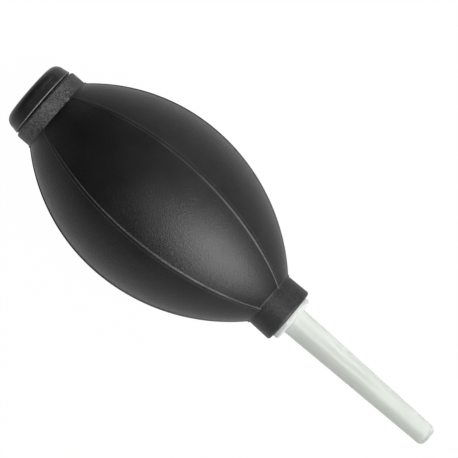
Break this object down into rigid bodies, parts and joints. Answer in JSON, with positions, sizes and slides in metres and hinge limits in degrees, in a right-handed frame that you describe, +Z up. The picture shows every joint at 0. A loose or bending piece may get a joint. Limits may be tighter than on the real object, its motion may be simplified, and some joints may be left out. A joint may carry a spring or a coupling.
{
  "type": "dust blower bulb",
  "caption": "Hand-squeezed air blower: ribbed black rubber bulb with a rear intake valve and a slim translucent front nozzle for blowing dust off small parts.",
  "frame": {"origin": "under the middle of the whole length, on the surface that the bulb lies on", "axes": "+X along the blower's axis towards the nozzle tip, +Z up out of the middle of a panel, +Y towards a rib"},
  "size_m": [0.165, 0.0584, 0.0564],
  "materials": {
    "bulb_rubber": "fine matt, slightly grained moulding",
    "cap_plastic": "satin",
    "filter_felt": "pressed fibre",
    "valve_plastic": "satin",
    "disc_rubber": "smooth",
    "bush_plastic": "milky white, satin",
    "tube_plastic": "milky translucent, smooth"
  },
  "bodies": {
    "bulb": {"bulb": "bulb_rubber", "intake_cap": "cap_plastic", "intake_filter": "filter_felt", "valve_body": "valve_plastic", "valve_cage": "valve_plastic"},
    "valve": {"valve_disc": "disc_rubber"},
    "front": {"nozzle_bush": "bush_plastic"},
    "nozzle": {"nozzle_tube": "tube_plastic"}
  },
  "joints": [
    {"name": "squeeze", "type": "slide", "parent": "bulb", "child": "front", "axis": [-1, 0, 0], "range_m": [0, 0.012], "stiffness_N_per_m": 1200, "deforming": ["bulb"]},
    {"name": "valve_lift", "type": "slide", "parent": "bulb", "child": "valve", "axis": [1, 0, 0], "range_m": [0, 0.0015]},
    {"name": "nozzle_pull", "type": "slide", "parent": "front", "child": "nozzle", "axis": [1, 0, 0], "range_m": [0, 0.014]}
  ]
}
